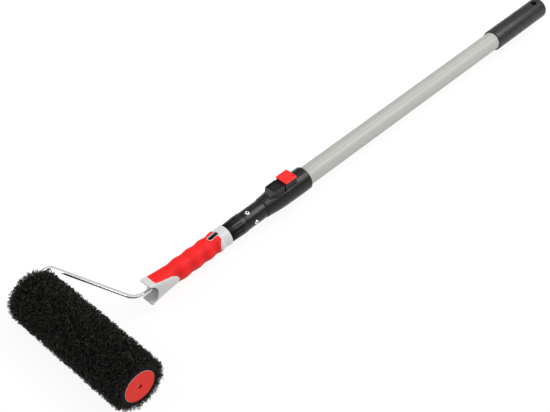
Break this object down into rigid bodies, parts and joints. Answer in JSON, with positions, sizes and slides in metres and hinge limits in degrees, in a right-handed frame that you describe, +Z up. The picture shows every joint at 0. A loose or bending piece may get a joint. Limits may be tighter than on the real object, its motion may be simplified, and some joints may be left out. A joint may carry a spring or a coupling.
{
  "type": "paint roller",
  "caption": "Paint roller with a coarse pile cover on a cranked wire frame, a soft-grip handle and a telescopic extension pole with a push-button lock.",
  "frame": {"origin": "under the middle of the whole tool, on the plane that the roller rests on", "axes": "+X along the pole from the roller to the grip, +Y along the roller's axle towards the wire's side, +Z up, through the lock button"},
  "size_m": [1.1392, 0.2815, 0.0826],
  "materials": {
    "anodised_tube": "satin anodised",
    "inner_tube_metal": "satin",
    "black_plastic": "fine matt",
    "cone_plastic": "fine matt, ribbed",
    "bush_plastic": "smooth",
    "lever_plastic": "smooth",
    "pad_rubber": "matt",
    "grip_rubber": "smooth, soft sheen",
    "red_plastic": "satin",
    "cap_plastic": "moulded",
    "red_soft_grip": "soft touch",
    "grey_plastic": "moulded",
    "chromed_wire": "bright chrome",
    "bright_steel": "zinc plated",
    "spring_steel": "plain",
    "rivet_aluminium": "bright",
    "black_pile": "coarse looped nylon",
    "core_plastic": "smooth",
    "bearing_nylon": "natural nylon"
  },
  "bodies": {
    "pole": {"outer_tube": "anodised_tube", "lock_housing": "black_plastic", "guide_bush": "bush_plastic", "latch_cover": "black_plastic", "housing_screw": "bright_steel", "lever_pin": "bright_steel", "lever_spring": "spring_steel", "pole_grip": "grip_rubber"},
    "button": {"lock_button": "red_plastic"},
    "lever": {"lock_lever": "lever_plastic", "brake_pad": "pad_rubber"},
    "inner_pole": {"inner_tube": "inner_tube_metal", "rear_glide": "bush_plastic", "stem_sleeve": "black_plastic", "stem_rivets": "rivet_aluminium", "nose_cone": "cone_plastic"},
    "handle": {"handle_body": "grey_plastic", "grip_sleeve": "red_soft_grip", "frame_wire": "chromed_wire", "far_stop": "bright_steel", "push_nut": "spring_steel"},
    "roller": {"roller_pile": "black_pile", "roller_core": "core_plastic", "near_cap": "cap_plastic", "far_cap": "cap_plastic", "near_bearing": "bearing_nylon", "far_bearing": "bearing_nylon"}
  },
  "joints": [
    {"name": "telescope_slide", "type": "slide", "parent": "pole", "child": "inner_pole", "axis": [-1, 0, 0], "range_m": [0, 0.55]},
    {"name": "handle_pull_off", "type": "slide", "parent": "inner_pole", "child": "handle", "axis": [-1, 0, 0], "range_m": [0, 0.07]},
    {"name": "roller_spin", "type": "hinge", "parent": "handle", "child": "roller", "pos_m": [-0.52835, -0.01075, 0.0413], "axis": [0, 1, 0], "continuous": true},
    {"name": "button_press", "type": "slide", "parent": "pole", "child": "button", "axis": [0, 0, -1], "range_m": [0, 0.0018], "stiffness_N_per_m": 1500, "springref_m": -0.004, "deforming": ["lever_spring"]},
    {"name": "lever_tilt", "type": "hinge", "parent": "pole", "child": "lever", "pos_m": [-0.12745, -0.01075, 0.0594], "axis": [0, 1, 0], "range_deg": [0, 6.5]}
  ],
  "couplings": [
    {"joint": "lever_tilt", "follows": "button_press", "rad_per_m": 62.5}
  ]
}
